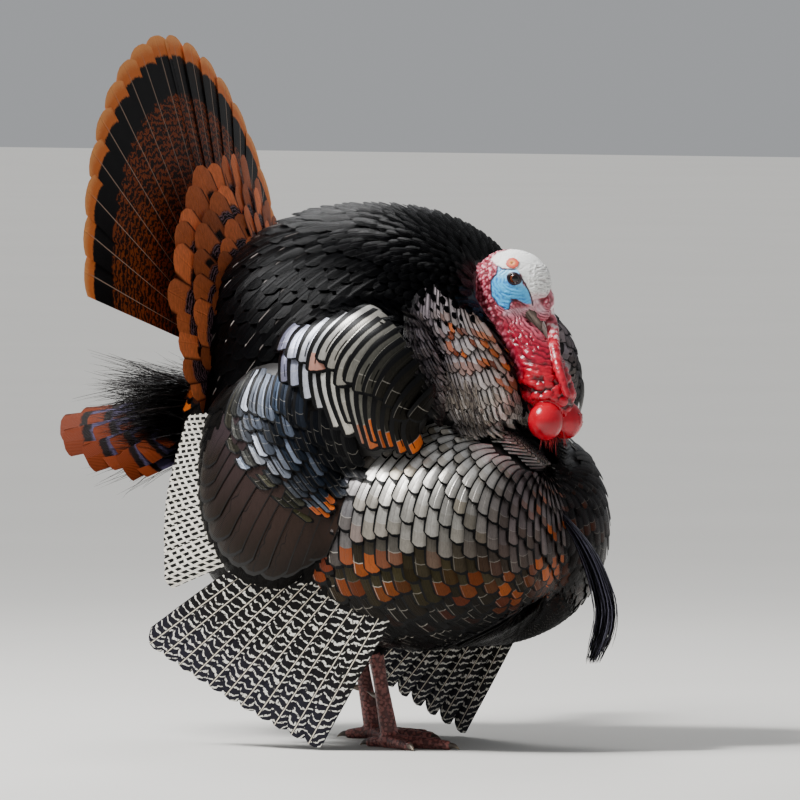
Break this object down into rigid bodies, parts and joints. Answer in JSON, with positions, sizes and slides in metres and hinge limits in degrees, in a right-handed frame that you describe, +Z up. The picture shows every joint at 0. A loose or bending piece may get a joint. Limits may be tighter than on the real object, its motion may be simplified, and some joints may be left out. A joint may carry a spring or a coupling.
{
  "type": "wild turkey",
  "caption": "Wild turkey gobbler in full strut: fanned tail, puffed plumage, drooped wings, bare blue and red head with snood and wattles, breast beard, spurred legs.",
  "frame": {"origin": "bottom centre of the whole bird's bounding box, on the floor under its soles", "axes": "+X the way the bird faces, +Y its left, +Z up"},
  "size_m": [0.77, 0.628, 0.8469],
  "materials": {
    "skin": "satin, wrinkled, red with blue cheeks and a white crown",
    "leg_skin": "scaly satin",
    "horn": "satin horn",
    "eye": "wet gloss",
    "plumage": "iridescent bronze feathers with black edges",
    "wing_feathers": "silver and bronze coverts, black and white barred flight feathers",
    "tail_feathers": "barred brown with a black band and rust tips",
    "beard": "coarse black bristles"
  },
  "bodies": {
    "root": {"head": "skin", "bill_upper": "horn", "bill_lower": "horn", "snood": "skin", "eye_right": "eye", "eye_left": "eye", "neck": "skin", "wattle_right": "skin", "wattle_left": "skin", "neck_ruff": "plumage", "trunk": "plumage", "beard": "beard", "tail_coverts": "tail_feathers", "tail_fan": "tail_feathers", "vent_coverts": "tail_feathers", "scapulars_right": "wing_feathers", "wing_coverts_right": "wing_feathers", "secondaries_right": "wing_feathers", "primaries_right": "wing_feathers", "scapulars_left": "wing_feathers", "wing_coverts_left": "wing_feathers", "secondaries_left": "wing_feathers", "primaries_left": "wing_feathers", "thigh_right": "plumage", "shank_right": "leg_skin", "foot_right": "leg_skin", "spur_right": "horn", "claw_right_inner": "horn", "claw_right_middle": "horn", "claw_right_outer": "horn", "claw_right_hind": "horn", "thigh_left": "plumage", "shank_left": "leg_skin", "foot_left": "leg_skin", "spur_left": "horn", "claw_left_inner": "horn", "claw_left_middle": "horn", "claw_left_outer": "horn", "claw_left_hind": "horn"}
  },
  "joints": []
}
